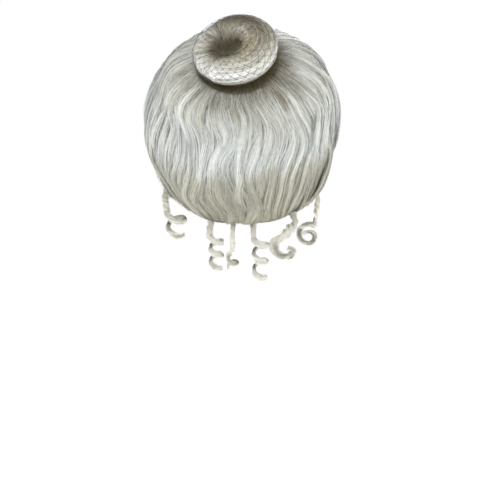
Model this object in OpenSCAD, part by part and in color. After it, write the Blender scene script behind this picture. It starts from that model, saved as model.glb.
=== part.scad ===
// Costume wig: puffed updo on a net cap, netted bun at the back of the crown, hanging ringlets.
// Origin: middle of the head opening at ear level. +Z up, +Y the way the wearer faces, +X wearer's right.
// Angles named b are counted round the head from the back (0) towards +X (90) and the front (180).

/* [Head form] */
// half width of the head the cap fits
head_rx = 76; // [72:1:80]
// half depth of the head the cap fits
head_ry = 96; // [92:1:100]
// height of the cap's top above ear level
head_top = 121; // [117:1:125]

/* [Hair] */
// radius of the puffed hair at each side
hair_side_w = 126; // [122:1:132]
// radius of the puffed hair at the back
hair_back_w = 130; // [126:1:136]
// radius of the front roll
hair_front_w = 134; // [128:1:140]
// height of the hair's top
hair_top = 169; // [166:1:174]
// height of the widest part at the back and sides
hair_wide_z = 50; // [44:1:56]
// squareness of the hair's right shoulder, 2 is round
right_pow = 2.22; // [2:0.02:2.4]
// squareness of the hair's left shoulder, 2 is round
left_pow = 1.98; // [1.9:0.02:2.4]
// lowest point of the hem at the nape
hem_back_z = -86; // [-92:1:-84]
// height of the lock ridges
ridge_h = 1.3; // [0.4:0.1:2]

/* [Bun] */
// radius of the bun
bun_r = 51.5; // [49:0.5:54]
// half thickness of the bun
bun_half_t = 22.5; // [20:0.5:23]
// tilt of the bun's face away from straight up
bun_tilt = 52; // [48:1:56]
// how far the dimple lies from the bun's middle
dimple_off = 10; // [8:1:14]

/* [Ringlets] */
// radius of a ringlet's lock at its thick part
lock_r = 3.4; // [2.6:0.1:3.8]

/* [Node] */
// which node to draw, or all

/* [Hidden] */
head_low = 156;
$fn = 48;
cap_t = 0.8;
weft_in = 1.1;
weft_out = 2.0;
hair_in = 2.6;
side_hem_z = [-66, -69];
lower_pow = 1.15;
ear_hem_z = -52;
front_hem_z = 62;
net_back_z = 62;
band_h = 12;
back_pow = 2.2;
nape_top = -50;
nape_low = -66;
crown_end = 25;
crown_in = 15;
seam = 0.4;
seam_b = 0.35;
bun_turn = -12;
bun_spin = 37;
bun_c = [-5, -106, 136.5];
bun_lift = 1.7;
dip_r = 50;
hole_r = 8;
hair_rows = 22;

net_colour = [0.80, 0.78, 0.72];
tape_colour = [0.86, 0.84, 0.80];
hair_colour = [0.78, 0.78, 0.74];
bun_colour = [0.72, 0.70, 0.64];
dark_net = [0.45, 0.43, 0.38];
metal_colour = [0.5, 0.5, 0.52];

// ---------------------------------------------------------------- helpers

function ease(e0, e1, x) = let (t = min(1, max(0, (x - e0) / (e1 - e0)))) t * t * (3 - 2 * t);
function mix(a, c, t) = a + (c - a) * t;
function ell(b, ax, ay) = 1 / sqrt(pow(sin(b) / ax, 2) + pow(cos(b) / ay, 2));
function head_rz(z, d) = (z >= 0 ? head_top : head_low) + d;

// point on the head form grown by d, at angle b and height z
function head_pt(b, z, d) =
  let (r = ell(b, head_rx + d, head_ry + d) * sqrt(max(0, 1 - pow(z / head_rz(z, d), 2))))
  [r * sin(b), -r * cos(b), z];

// outward direction of the head form at angle b, as an angle counted like b
function head_dir(b) = atan2(sin(b) / pow(head_rx, 2), cos(b) / pow(head_ry, 2));

// open sheet with thickness: two grids of points, rows downwards, columns towards +b
module slab(outer, inner) {
  m = len(outer) - 1;
  n = len(outer[0]) - 1;
  w = n + 1;
  k = (m + 1) * w;
  pts = concat([for (row = outer) each row], [for (row = inner) each row]);
  skin = [for (i = [0:m - 1], j = [0:n - 1]) each [
    [i * w + j, i * w + j + 1, (i + 1) * w + j + 1],
    [i * w + j, (i + 1) * w + j + 1, (i + 1) * w + j],
    [k + i * w + j, k + (i + 1) * w + j + 1, k + i * w + j + 1],
    [k + i * w + j, k + (i + 1) * w + j, k + (i + 1) * w + j + 1]]];
  ends = [for (j = [0:n - 1]) each [
    [j + 1, j, k + j],
    [j + 1, k + j, k + j + 1],
    [m * w + j, m * w + j + 1, k + m * w + j + 1],
    [m * w + j, k + m * w + j + 1, k + m * w + j]]];
  sides = [for (i = [0:m - 1]) each [
    [i * w, (i + 1) * w, k + (i + 1) * w],
    [i * w, k + (i + 1) * w, k + i * w],
    [(i + 1) * w + n, i * w + n, k + (i + 1) * w + n],
    [i * w + n, k + i * w + n, k + (i + 1) * w + n]]];
  polyhedron(pts, concat(skin, ends, sides), convexity = 6);
}

// sheet that closes round on itself, with an optional pole that closes its top
module ring_slab(outer, inner, poles) {
  m = len(outer) - 1;
  w = len(outer[0]);
  k = (m + 1) * w;
  pts = concat([for (row = outer) each row], [for (row = inner) each row], poles);
  skin = [for (i = [0:1:m - 1], j = [0:w - 1]) let (q = (j + 1) % w) each [
    [i * w + j, i * w + q, (i + 1) * w + q],
    [i * w + j, (i + 1) * w + q, (i + 1) * w + j],
    [k + i * w + j, k + (i + 1) * w + q, k + i * w + q],
    [k + i * w + j, k + (i + 1) * w + j, k + (i + 1) * w + q]]];
  low = [for (j = [0:w - 1]) let (q = (j + 1) % w) each [
    [m * w + j, m * w + q, k + m * w + q],
    [m * w + j, k + m * w + q, k + m * w + j]]];
  top = len(poles) == 2
    ? [for (j = [0:w - 1]) let (q = (j + 1) % w) each [[2 * k, q, j], [2 * k + 1, k + j, k + q]]]
    : [for (j = [0:w - 1]) let (q = (j + 1) % w) each [[q, j, k + j], [q, k + j, k + q]]];
  polyhedron(pts, concat(skin, low, top), convexity = 6);
}

// patch of the head form between two angles and two heights, from offset d0 to offset d1
module head_patch(b0, b1, z_top, z_low, d0, d1, cols, rows) {
  slab(
    [for (i = [0:rows]) [for (j = [0:cols])
      head_pt(mix(b0, b1, j / cols), mix(z_top, z_low, i / rows), d1)]],
    [for (i = [0:rows]) [for (j = [0:cols])
      head_pt(mix(b0, b1, j / cols), mix(z_top, z_low, i / rows), d0)]]);
}

// ---------------------------------------------------------------- hair shape

function hair_w(b) = mix(mix(hair_back_w, hair_side_w, ease(0, 80, abs(b))), hair_front_w,
  ease(100, 160, abs(b)));
function wide_z(b) = mix(hair_wide_z, 104, ease(112, 150, abs(b)));
function top_pow(b) = mix(mix(back_pow, b > 0 ? right_pow : left_pow, ease(10, 80, abs(b))),
  back_pow, ease(100, 170, abs(b)));
function hem_z(b) = mix(mix(mix(hem_back_z, side_hem_z[b > 0 ? 1 : 0], ease(15, 90, abs(b))),
  ear_hem_z, ease(86, 110, abs(b))), front_hem_z, ease(122, 144, abs(b)));
function hem_r(b) =
  let (d = hair_in + 2.2)
  mix(ell(b, head_rx + d, head_ry + d) * sqrt(1 - pow(min(0, hem_z(b) + 1) / head_rz(-1, d), 2)),
    95, ease(84, 110, abs(b)));
function ridge(b, th) = ridge_h * sin(th) * sin(b * 20 + 70 * sin(th * 1.6 + b * 2));

bun_u = [sin(bun_turn) * sin(bun_tilt), -cos(bun_turn) * sin(bun_tilt), cos(bun_tilt)];

// pushes a point of the hair's surface down below the bun
function dipped(p) =
  let (q = p - bun_c, h = q * bun_u, rho = norm(q - h * bun_u),
    top = -bun_half_t - bun_lift + 60 * ease(dip_r, dip_r + 30, rho))
  p - bun_u * max(0, h - top);

function hair_pt(b, th) =
  let (w = hair_w(b), zw = wide_z(b), e = 2 / top_pow(b), hr = hem_r(b), hz = hem_z(b),
    r0 = th <= 90 ? w * pow(sin(th), e) : hr + (w - hr) * pow(max(0, sin(th)), lower_pow),
    z = th < 90 ? zw + (hair_top - zw) * pow(max(0, cos(th)), e) : zw + (zw - hz) * cos(th),
    r = r0 + ridge(b, th))
  dipped([r * sin(b), -r * cos(b), z]);

function hair_in_pt(b, th) =
  let (zl = hem_z(b) + 1, pl = acos(zl / head_rz(zl, hair_in)),
    p = th <= crown_end ? crown_in * th / crown_end
      : mix(crown_in, pl, (th - crown_end) / (180 - crown_end)),
    zc = (cos(p) >= 0 ? head_top + hair_in : head_low + hair_in) * cos(p))
  head_pt(b, zc, hair_in);

module hair_section(b0, b1, cols) {
  th0 = crown_end + seam;
  slab(
    [for (i = [0:hair_rows]) [for (j = [0:cols])
      hair_pt(mix(b0 + seam_b, b1 - seam_b, j / cols), mix(th0, 180, i / hair_rows))]],
    [for (i = [0:hair_rows]) [for (j = [0:cols])
      hair_in_pt(mix(b0 + seam_b, b1 - seam_b, j / cols), mix(th0, 180, i / hair_rows))]]);
}

// ---------------------------------------------------------------- cap

function rim_z(b) = max(14.5, hem_z(b) + 7);
function net_low(b) =
  abs(b) < 125 ? mix(net_back_z, 15, ease(100, 106, abs(b))) : rim_z(b) + band_h + 2.5;

module crown_net() {
  cols = 120;
  rows = 6;
  function row_pt(i, j, d) =
    let (b = -180 + 360 * j / cols, zl = net_low(b), p = acos(zl / (head_top + d)) * i / rows)
    head_pt(b, (head_top + d) * cos(p), d);
  color(net_colour) ring_slab(
    [for (i = [1:rows]) [for (j = [0:cols - 1]) row_pt(i, j, cap_t)]],
    [for (i = [1:rows]) [for (j = [0:cols - 1]) row_pt(i, j, 0)]],
    [[0, 0, head_top + cap_t], [0, 0, head_top]]);
}

module front_band() {
  cols = 36;
  rows = 2;
  function band_pt(i, j, d) =
    let (b = mix(128, 232, j / cols), f = b > 180 ? b - 360 : b)
    head_pt(f, rim_z(f) + band_h * (1 - i / rows), d);
  color(tape_colour) slab(
    [for (i = [0:rows]) [for (j = [0:cols]) band_pt(i, j, cap_t)]],
    [for (i = [0:rows]) [for (j = [0:cols]) band_pt(i, j, 0)]]);
}

module nape_band() color(tape_colour)
  head_patch(-90, 90, nape_top, nape_low, 0, cap_t, 40, 1);

module tape(b) color(tape_colour)
  head_patch(b - 3.2, b + 3.2, net_back_z - 1.5, nape_top + 0.6, 0, cap_t, 2, 10);

module weft(z, end = 100) color(hair_colour)
  head_patch(-end, end, z + 2.5, z - 2.5, weft_in, weft_out, 44, 1);

module care_label() color([0.94, 0.93, 0.90])
  head_patch(-9, 9, 82, 66, -1.1, -0.5, 4, 2);

module loop_strip(s) color(tape_colour)
  difference() {
    head_patch(s > 0 ? 4 : -30, s > 0 ? 30 : -4, -54.5, -62.5, -1.5, -0.5, 8, 1);
    for (b = [8.5, 14.5, 20.5, 26.5])
      translate(head_pt(s * b, -58.5, -1)) rotate([0, 0, head_dir(s * b)])
        cube([3, 6, 4.5], center = true);
  }

module ear_tab(s) {
  cols = 8;
  rows = 6;
  function tab_pt(i, j, d) =
    let (v = j / cols, drop = 8 + 18 * sqrt(max(0, 1 - pow(2 * v - 1, 4))),
      b = mix(106.5, 126.5, s > 0 ? v : 1 - v))
    head_pt(s * b, 12.5 - drop * i / rows, d);
  color(tape_colour) slab(
    [for (i = [0:rows]) [for (j = [0:cols]) tab_pt(i, j, cap_t)]],
    [for (i = [0:rows]) [for (j = [0:cols]) tab_pt(i, j, 0)]]);
}

module ear_stay(s) color(metal_colour) {
  b = s * 116.5;
  head_patch(b - 1.6, b + 1.6, 9.5, -9.5, -1.2, -0.4, 2, 4);
}

module adjuster_strap(s) {
  cols = 18;
  function strap_pt(i, j, d) =
    let (v = j / cols, b = s > 0 ? mix(26, 84, v) : mix(-84, -26, v), w = s > 0 ? v : 1 - v)
    head_pt(b, -55 - 7 * i, d - mix(3.2, 1.6, w));
  color(tape_colour) slab(
    [for (i = [0:1]) [for (j = [0:cols]) strap_pt(i, j, 0.8)]],
    [for (i = [0:1]) [for (j = [0:cols]) strap_pt(i, j, 0)]]);
}

module adjuster_hook(s) color(metal_colour)
  translate(head_pt(s * 22, -58.5, -3.4)) rotate([0, 0, head_dir(s * 22)]) {
    difference() {
      cube([8, 0.9, 7], center = true);
      translate([s * 2, 0, 0]) cube([1.4, 2, 5], center = true);
    }
    translate([-s * 3.5, 0.9, 0]) cube([1, 1.2, 4], center = true);
    translate([-s * 2.4, 1.7, 0]) cube([3.2, 0.8, 4], center = true);
  }

// ---------------------------------------------------------------- hair pieces

module crown_hair() color(hair_colour) {
  cols = 48;
  rows = 5;
  ring_slab(
    [for (i = [1:rows]) [for (j = [0:cols - 1])
      hair_pt(-180 + 360 * j / cols, crown_end * i / rows)]],
    [for (i = [1:rows]) [for (j = [0:cols - 1])
      hair_in_pt(-180 + 360 * j / cols, crown_end * i / rows)]],
    [dipped([0, 0, hair_top]), [0, 0, head_top + hair_in]]);
}

module back_hair_right() color(hair_colour) hair_section(0, 38, 10);
module back_hair_left() color(hair_colour) hair_section(-38, 0, 10);
module rear_hair_right() color(hair_colour) hair_section(38, 82, 11);
module rear_hair_left() color(hair_colour) hair_section(-82, -38, 11);
module side_hair_right() color(hair_colour) hair_section(82, 124, 12);
module side_hair_left() color(hair_colour) hair_section(-124, -82, 12);
module front_hair_right() color(hair_colour) hair_section(124, 180, 15);
module front_hair_left() color(hair_colour) hair_section(-180, -124, 15);

// ---------------------------------------------------------------- bun

module on_bun() translate(bun_c) rotate([bun_tilt, 0, bun_turn]) rotate([0, 0, bun_spin]) children();

// distance from the dimple to the bun's edge in direction f, fuller at its lower left
function bun_reach(f) =
  dimple_off * cos(f) + sqrt(pow(bun_r, 2) - pow(dimple_off * sin(f), 2))
  + 4 * cos(f + bun_spin - 200) + 2.2 * cos(2 * (f + bun_spin - 20));
function bun_high(f) = bun_half_t * (0.90 + 0.10 * cos(f));

// point on the roll of hair: f round the dimple, t round the roll from its outer edge over the top
function bun_pt(f, t, d) =
  let (half = (bun_reach(f) - hole_r) / 2, r = hole_r + half + (half + d) * cos(t))
  [r * cos(f) - dimple_off, r * sin(f), (bun_high(f) + d) * sin(t)];

module bun_coil() color(bun_colour) on_bun() {
  m = 40;
  n = 18;
  pts = [for (i = [0:m - 1]) each [for (j = [0:n - 1]) bun_pt(360 * i / m, 360 * j / n, 0)]];
  faces = [for (i = [0:m - 1], j = [0:n - 1])
    let (a = (i + 1) % m, c = (j + 1) % n) each [
      [i * n + j, i * n + c, a * n + c],
      [i * n + j, a * n + c, a * n + j]]];
  polyhedron(pts, faces, convexity = 8);
}

module bun_net() color(dark_net) on_bun() {
  m = 40;
  n = 12;
  ring_slab(
    [for (j = [0:n]) [for (i = [0:m - 1]) bun_pt(360 * i / m, mix(128, -52, j / n), 1.0)]],
    [for (j = [0:n]) [for (i = [0:m - 1]) bun_pt(360 * i / m, mix(128, -52, j / n), 0.5)]],
    []);
}

module bun_net_elastic() {
  m = 60;
  n = 8;
  function mid(i) = bun_pt(360 * i / m, -60, 2.1);
  pts = [for (i = [0:m - 1]) let (p = mid(i), t = mid(i + 1) - mid(i - 1), o = cross([0, 0, 1], t))
    each [for (j = [0:n - 1])
      p + 0.9 * (cos(360 * j / n) * o / norm(o) + [0, 0, sin(360 * j / n)])]];
  faces = [for (i = [0:m - 1], j = [0:n - 1])
    let (a = (i + 1) % m, c = (j + 1) % n) each [
      [i * n + j, a * n + c, i * n + c],
      [i * n + j, a * n + j, a * n + c]]];
  color(dark_net) on_bun() polyhedron(pts, faces, convexity = 6);
}

module bun_stub() color(hair_colour) on_bun()
  translate([-dimple_off, 0, -bun_half_t - 1.2]) cylinder(r1 = 7.4, r2 = 6.6, h = bun_half_t + 8);

module bun_elastic() color(dark_net) on_bun()
  translate([-dimple_off, 0, -bun_half_t + 1]) rotate_extrude() translate([9, 0]) circle(1.2);

module bun_end_coil() color(bun_colour) on_bun()
  translate([-dimple_off, 0, 9.6]) rotate([0, 0, 40])
    rotate_extrude(angle = 300) translate([5.3, 0]) circle(2.2);

module hair_pin() {
  for (x = [-3, 3]) translate([x, 0, -34]) cylinder(r = 0.7, h = 28, $fn = 24);
  translate([0, 0, -6]) rotate([90, 0, 0]) rotate_extrude(angle = 180) translate([3, 0])
    circle(0.7, $fn = 24);
}

module bun_pins() color(metal_colour) on_bun()
  for (f = [35, 145, 215, 325])
    rotate([0, 0, f]) translate([bun_r - 18.5, 0, -2]) rotate([0, 0, 90]) hair_pin();

// ---------------------------------------------------------------- ringlets

// path of a ringlet: hangs from its root, then turns into a coil at v = start; v runs from 0 to 1
// tilt turns the coil's axis from upright towards the back, dx carries it sideways, and share is
// how much of the drop the hanging part takes
function curl_pt(root, coil_r, drop, turns, phase, tilt, start, share, dx, v) =
  let (grow = ease(0, start + 0.1, v), w = max(0, (v - start) / (1 - start)),
    ph = phase + 360 * turns * w, r = coil_r * (1 - 0.15 * w), c0 = coil_r * grow,
    s = r * sin(ph) * grow - c0 * sin(phase),
    fall = v < start ? share * v / start : mix(share, 1, w))
  [root[0] + dx * ease(0, start + 0.2, v) + r * cos(ph) * grow - c0 * cos(phase),
   root[1] + 0.8 * cos(tilt) * s,
   root[2] - drop * fall + sin(tilt) * s];

module ringlet(root, coil_r, drop, turns, phase, tilt, start, share, dx, thick) {
  m = 48;
  n = 6;
  function at(v) = curl_pt(root, coil_r, drop, turns, phase, tilt, start, share, dx, v);
  rings = [for (i = [0:m])
    let (v = i / m, p = at(v), q = at(min(1, v + 0.01)) - at(max(0, v - 0.01)), t = q / norm(q),
      s0 = cross(t, [0, 0, 1]), s1 = norm(s0) < 0.05 ? [1, 0, 0] : s0 / norm(s0), s2 = cross(s1, t),
      r = thick * (0.45 + 0.55 * ease(0, 0.25, v)) * (1 - 0.4 * ease(0.85, 1, v)))
    [for (j = [0:n - 1]) p + r * (s1 * cos(360 * j / n) + s2 * sin(360 * j / n))]];
  pts = concat([for (g = rings) each g], [at(0), at(1)]);
  k = (m + 1) * n;
  faces = concat(
    [for (i = [0:m - 1], j = [0:n - 1]) let (c = (j + 1) % n) each [
      [i * n + j, (i + 1) * n + j, (i + 1) * n + c],
      [i * n + j, (i + 1) * n + c, i * n + c]]],
    [for (j = [0:n - 1]) let (c = (j + 1) % n) each [[k, j, c], [k + 1, m * n + c, m * n + j]]]);
  color(hair_colour) polyhedron(pts, faces, convexity = 12);
}

module ringlet_side_left()
  ringlet([-100, 17, -52], 12, 54, 1.55, 180, 38, 0.36, 0.42, 2, lock_r);
module ringlet_nape_left()
  ringlet([-41, -75, -91], 8, 51, 2.6, 180, 28, 0.12, 0.14, 0, lock_r * 0.85);
module ringlet_nape_small()
  ringlet([-12, -82, -92], 6.5, 42, 1.3, 90, 60, 0.45, 0.6, 0, lock_r * 0.65);
module ringlet_nape_right()
  ringlet([14, -82, -92], 9, 62, 2.6, 180, 28, 0.12, 0.14, 0, lock_r);
module ringlet_rear_right()
  ringlet([68, -52, -82], 15, 44, 0.66, 180, 60, 0.5, 0.62, -32, lock_r * 1.1);
module ringlet_side_right()
  ringlet([99, 15, -53], 11.5, 52, 1.3, 40, 68, 0.45, 0.78, -5, lock_r);

// ---------------------------------------------------------------- drawing

crown_net();
front_band();
nape_band();
tape(0);  // tape_centre
tape(-48);  // tape_mid_left
tape(48);  // tape_mid_right
tape(-86);  // tape_side_left
tape(86);  // tape_side_right
weft(54);  // weft_1
weft(33);  // weft_2
weft(12);  // weft_3
weft(-9);  // weft_4
weft(-30);  // weft_5
weft(-56, 88);  // weft_6
care_label();
loop_strip(-1);  // loop_strip_left
loop_strip(1);  // loop_strip_right
ear_tab(-1);  // ear_tab_left
ear_tab(1);  // ear_tab_right
ear_stay(-1);  // ear_stay_left
ear_stay(1);  // ear_stay_right
adjuster_strap(-1);  // adjuster_strap_left
adjuster_strap(1);  // adjuster_strap_right
adjuster_hook(-1);  // adjuster_hook_left
adjuster_hook(1);  // adjuster_hook_right
crown_hair();
back_hair_left();
back_hair_right();
rear_hair_left();
rear_hair_right();
side_hair_left();
side_hair_right();
front_hair_left();
front_hair_right();
bun_stub();
bun_elastic();
bun_coil();
bun_end_coil();
bun_net();
bun_net_elastic();
bun_pins();
ringlet_side_left();
ringlet_nape_left();
ringlet_nape_small();
ringlet_nape_right();
ringlet_rear_right();
ringlet_side_right();
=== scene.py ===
# Costume wig: loose hair, bun, hairnet, curls and cap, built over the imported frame.
import math

import bpy
import numpy as np
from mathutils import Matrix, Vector


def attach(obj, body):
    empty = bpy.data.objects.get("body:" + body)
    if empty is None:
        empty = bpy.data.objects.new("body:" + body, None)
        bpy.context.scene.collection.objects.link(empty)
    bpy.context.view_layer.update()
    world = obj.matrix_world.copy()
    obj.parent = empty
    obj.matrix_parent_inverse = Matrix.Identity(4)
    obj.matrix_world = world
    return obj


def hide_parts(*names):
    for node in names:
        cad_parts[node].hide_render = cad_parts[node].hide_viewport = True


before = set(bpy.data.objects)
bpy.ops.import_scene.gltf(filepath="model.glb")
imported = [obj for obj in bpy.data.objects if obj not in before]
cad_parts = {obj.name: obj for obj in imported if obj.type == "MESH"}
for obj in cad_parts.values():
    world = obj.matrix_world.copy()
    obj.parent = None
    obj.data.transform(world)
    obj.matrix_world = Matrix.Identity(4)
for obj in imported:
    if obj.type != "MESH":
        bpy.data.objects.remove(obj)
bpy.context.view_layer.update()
MM = 0.001

# ------------------------------------------------------------------ shape shared with the CAD, in mm

HEAD = (76.0, 96.0, 121.0, 156.0)  # half width, half depth, top, lower half's height
SIDE_W, BACK_W, FRONT_W = 126.0, 130.0, 134.0
TOP, WIDE = 169.0, 50.0
TILT, TURN = math.radians(52), math.radians(-12)
BUN_C = np.array([-5.0, -106.0, 136.5])
BUN_R, BUN_HALF, DIMPLE, HOLE, SPIN = 51.5, 22.5, 10.0, 8.0, 37.0
CENTRE = np.array([0.0, 0.0, 40.0])
CAMBER = 0.16  # how far a ribbon's middle stands up, as a share of its width
FACE_B = 124  # angle of the face opening's edge
UNDER = 9.5  # depth of the underlayer below the hair's surface
CAP = 2.6  # clearance of the hair from the head form

U = np.array([math.sin(TURN) * math.sin(TILT), -math.cos(TURN) * math.sin(TILT), math.cos(TILT)])
W_AXIS = np.array([math.cos(TURN), math.sin(TURN), 0.0])  # the bun's own right
V_AXIS = np.cross(U, W_AXIS)  # the bun's own up
CS, SS = math.cos(math.radians(SPIN)), math.sin(math.radians(SPIN))
BW, BV = W_AXIS * CS + V_AXIS * SS, V_AXIS * CS - W_AXIS * SS  # the same, turned to the dimple


def ease(a, b, x):
    t = np.clip((x - a) / (b - a), 0, 1)
    return t * t * (3 - 2 * t)


def mix(a, b, t):
    return a + (b - a) * t


def steps(k):
    """k even steps from 0 to 1, in one row."""
    return np.linspace(0, 1, k)[None]


def unit(v):
    return v / np.maximum(np.linalg.norm(v, axis=-1, keepdims=True), 1e-9)


def bump_at(x, mid, wide):
    """1 at the middle, falling off on both sides."""
    return np.exp(-((x - mid) / wide) ** 2)


def ell(b, ax, ay):
    """Radius of an ellipse at angle b, in degrees from the back."""
    b = np.radians(b)
    return 1 / np.sqrt((np.sin(b) / ax) ** 2 + (np.cos(b) / ay) ** 2)


def head_pt(b, z, d):
    """Point at distance d from the head form: angle b round it from the back, height z."""
    b, z, d = np.broadcast_arrays(b, z, d)
    h = np.where(z >= 0, HEAD[2], HEAD[3]) + d
    r = ell(b, HEAD[0] + d, HEAD[1] + d) * np.sqrt(np.clip(1 - (z / h) ** 2, 0, 1))
    a = np.radians(b)
    return np.stack([r * np.sin(a), -r * np.cos(a), z], -1)


def hair_w(b):
    """How far out the hair goes at its widest."""
    return mix(mix(BACK_W, SIDE_W, ease(0, 80, abs(b))), FRONT_W, ease(100, 160, abs(b)))


def wide_z(b):
    """Height of its widest place."""
    return mix(WIDE, 104.0, ease(112, 150, abs(b)))


def top_pow(b):
    """How square the outline is above that place; 2 is an ellipse."""
    side = np.where(b > 0, 2.22, 1.98)
    return mix(mix(2.2, side, ease(10, 80, abs(b))), 2.2, ease(100, 170, abs(b)))


def hem_z(b):
    """Height of the hem, which rises round the face."""
    z = mix(-86.0, np.where(b > 0, -69.0, -66.0), ease(15, 90, abs(b)))
    return mix(mix(z, -52.0, ease(86, 110, abs(b))), 62.0, ease(122, 144, abs(b)))


def hem_r(b):
    d = 4.8  # the hem's distance from the head form
    low = np.minimum(0, hem_z(b) + 1) / (HEAD[3] + d)
    return mix(ell(b, HEAD[0] + d, HEAD[1] + d) * np.sqrt(1 - low ** 2), 95.0, ease(84, 110, abs(b)))


def hair_pt(b, th, inset=0.0):
    """Points of the hair's outer surface before the bun presses it in; th runs from the top to the hem, 180."""
    b, th = np.broadcast_arrays(b, th)
    t = np.radians(th)
    w, zw, e, hr, hz = hair_w(b), wide_z(b), 2 / top_pow(b), hem_r(b), hem_z(b)
    up = th < 90
    r = np.where(up, w * np.clip(np.sin(t), 0, 1) ** e, hr + (w - hr) * np.clip(np.sin(t), 0, 1) ** 1.15)
    z = np.where(up, zw + (TOP - zw) * np.clip(np.cos(t), 0, 1) ** e, zw + (zw - hz) * np.cos(t))
    a = np.radians(b)
    p = np.stack([r * np.sin(a), -r * np.cos(a), z], -1)
    d = p - CENTRE
    n = np.linalg.norm(d, axis=-1, keepdims=True)
    return p - d / n * inset


def dipped(p, low=0.0):
    """Pushes points below the bun."""
    q = p - BUN_C
    h = q @ U
    rho = np.linalg.norm(q - h[..., None] * U, axis=-1)
    top = -BUN_HALF - 1.7 - low + 60 * ease(50, 80, rho)
    return p - U * np.maximum(0, h - top)[..., None]


# angles round the head, and height angles, at which the radius table holds the hair's radius about CENTRE
GB = np.linspace(-180, 180, 181)
GE = np.linspace(-89, 90, 360)


def radius_table():
    table = np.zeros((len(GB), len(GE)))
    th = np.linspace(0, 180, 400)
    for i, b in enumerate(GB):
        p = hair_pt(np.full_like(th, b), th) - CENTRE
        rr = np.hypot(p[:, 0], p[:, 1])
        el = np.degrees(np.arctan2(p[:, 2], rr))
        order = np.argsort(el)
        table[i] = np.interp(GE, el[order], np.linalg.norm(p, axis=1)[order])
    return table


RT = radius_table()


def surf(direction, lift=0.0):
    """The hair's surface in a direction from CENTRE, with the bun's dip, moved out by lift."""
    d = direction / np.linalg.norm(direction, axis=-1, keepdims=True)
    b = np.degrees(np.arctan2(d[..., 0], -d[..., 1]))
    e = np.degrees(np.arcsin(np.clip(d[..., 2], -1, 1)))
    fb = np.clip((b + 180) / 2, 0, len(GB) - 1.001)
    fe = np.clip((e - GE[0]) / (GE[1] - GE[0]), 0, len(GE) - 1.001)
    ib, ie = fb.astype(int), fe.astype(int)
    ub, ue = fb - ib, fe - ie
    r = (RT[ib, ie] * (1 - ub) * (1 - ue) + RT[ib + 1, ie] * ub * (1 - ue)
         + RT[ib, ie + 1] * (1 - ub) * ue + RT[ib + 1, ie + 1] * ub * ue)
    return dipped(CENTRE + d * (r + lift)[..., None])


# ------------------------------------------------------------------ mesh helpers

def new_object(name):
    o = bpy.data.objects.new(name, bpy.data.meshes.new(name))
    bpy.context.scene.collection.objects.link(o)
    return o


def fill_mesh(o, verts, quads, uv=None, tint=None):
    """verts in mm. uv is per corner, tint per vertex."""
    me = o.data
    verts = np.asarray(verts, np.float32).reshape(-1, 3) * MM
    quads = np.asarray(quads, np.int32)
    k = quads.shape[1]
    me.vertices.add(len(verts))
    me.vertices.foreach_set("co", verts.ravel())
    me.loops.add(quads.size)
    me.loops.foreach_set("vertex_index", quads.ravel())
    me.polygons.add(len(quads))
    me.polygons.foreach_set("loop_start", np.arange(0, quads.size, k, dtype=np.int32))
    me.polygons.foreach_set("loop_total", np.full(len(quads), k, np.int32))
    me.polygons.foreach_set("use_smooth", np.full(len(quads), True))
    if uv is not None:
        layer = me.uv_layers.new(name="OFBake")
        layer.data.foreach_set("uv", np.asarray(uv, np.float32).ravel())
    if tint is not None:
        att = me.color_attributes.new("tint", "FLOAT_COLOR", "POINT")
        rgba = np.ones((len(verts), 4), np.float32)
        rgba[:, :3] = np.asarray(tint).reshape(-1, 3)
        att.data.foreach_set("color", rgba.ravel())
    me.update()
    me.validate()


def frames(paths, out):
    """Side and outward vectors along paths, from an outward hint."""
    t = unit(np.gradient(paths, axis=1))
    side = unit(np.cross(t, out))
    return side, unit(np.cross(side, t))


def strands(name, paths, out, width, tint):
    """Cambered hair ribbons, three points across: paths N x K x 3 in mm, with widths, tints and outward hints."""
    n, k = paths.shape[:2]
    tint = np.broadcast_to(tint, paths.shape)
    side, up = frames(paths, out)
    half = (np.broadcast_to(width, (n, k)) / 2)[..., None]
    across = np.stack([paths - side * half, paths + up * half * CAMBER * 2, paths + side * half], 2)
    base = (np.arange(n)[:, None] * k + np.arange(k - 1)[None]) * 3
    quads = np.stack([np.stack([base + c, base + c + 1, base + 3 + c + 1, base + 3 + c], -1)
                      for c in (0, 1)], 2).reshape(-1, 4)
    # each strand has its own cell of the UV square
    rows = max(1, int(round(math.sqrt(n / 12))))
    cols = -(-n // rows)
    i = np.arange(n)
    u0, v0 = (i % cols) / cols, (i // cols) / rows
    u = u0[:, None, None] + np.array([0.1, 0.5, 0.9])[None, None] / cols
    v = v0[:, None, None] + (0.02 + 0.96 * np.arange(k) / (k - 1))[None, :, None] / rows
    flat = np.stack(np.broadcast_arrays(u, v), -1).reshape(-1, 2)
    o = new_object(name)
    fill_mesh(o, across, quads, flat[quads.ravel()], np.repeat(tint.reshape(-1, 3), 3, axis=0))
    return o


def tubes(name, paths, out, radius, sides):
    """Closed-section tubes along paths N x K x 3 in mm; radius is a number or N x K."""
    n, k = paths.shape[:2]
    side, up = frames(paths, out)
    r = np.broadcast_to(radius, (n, k))[..., None, None]
    a = np.arange(sides) * 2 * math.pi / sides
    ring = (paths[:, :, None] + r * (side[:, :, None] * np.cos(a)[None, None, :, None]
                                     + up[:, :, None] * np.sin(a)[None, None, :, None]))
    base = (np.arange(n)[:, None, None] * k + np.arange(k - 1)[None, :, None]) * sides
    c = np.arange(sides)[None, None]
    d = (c + 1) % sides
    quads = np.stack([base + c, base + d, base + sides + d, base + sides + c], -1).reshape(-1, 4)
    o = new_object(name)
    fill_mesh(o, ring, quads[:, ::-1])
    return o


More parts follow.
